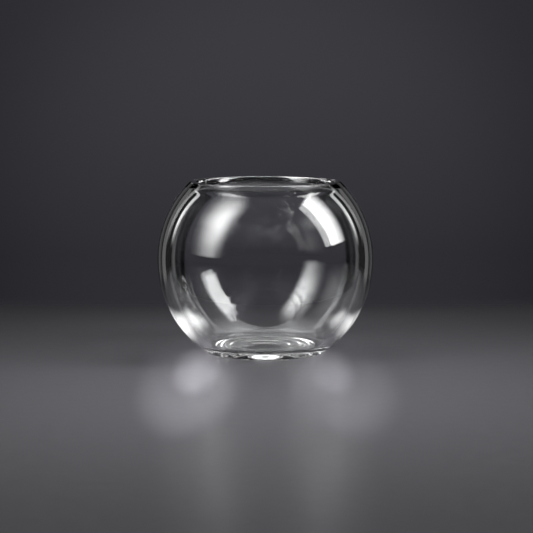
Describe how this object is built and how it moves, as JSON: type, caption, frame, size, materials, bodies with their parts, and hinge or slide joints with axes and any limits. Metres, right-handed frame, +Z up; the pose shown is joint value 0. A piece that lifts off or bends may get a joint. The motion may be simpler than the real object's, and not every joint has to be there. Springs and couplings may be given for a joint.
{
  "type": "rose bowl vase",
  "caption": "Clear glass rose bowl vase: a squat sphere with an open fire-polished mouth, thick wall and heavy dished base.",
  "frame": {"origin": "centre of the foot, at the level of the surface it stands on", "axes": "+Z up along the bowl's axis of revolution; X and Y are alike"},
  "size_m": [0.114, 0.114, 0.09],
  "materials": {
    "clear_glass": "clear colourless soda-lime glass, fire-polished, smooth inside and out"
  },
  "bodies": {
    "root": {"rim": "clear_glass", "upper_wall": "clear_glass", "lower_wall": "clear_glass", "heavy_base": "clear_glass"}
  },
  "joints": []
}
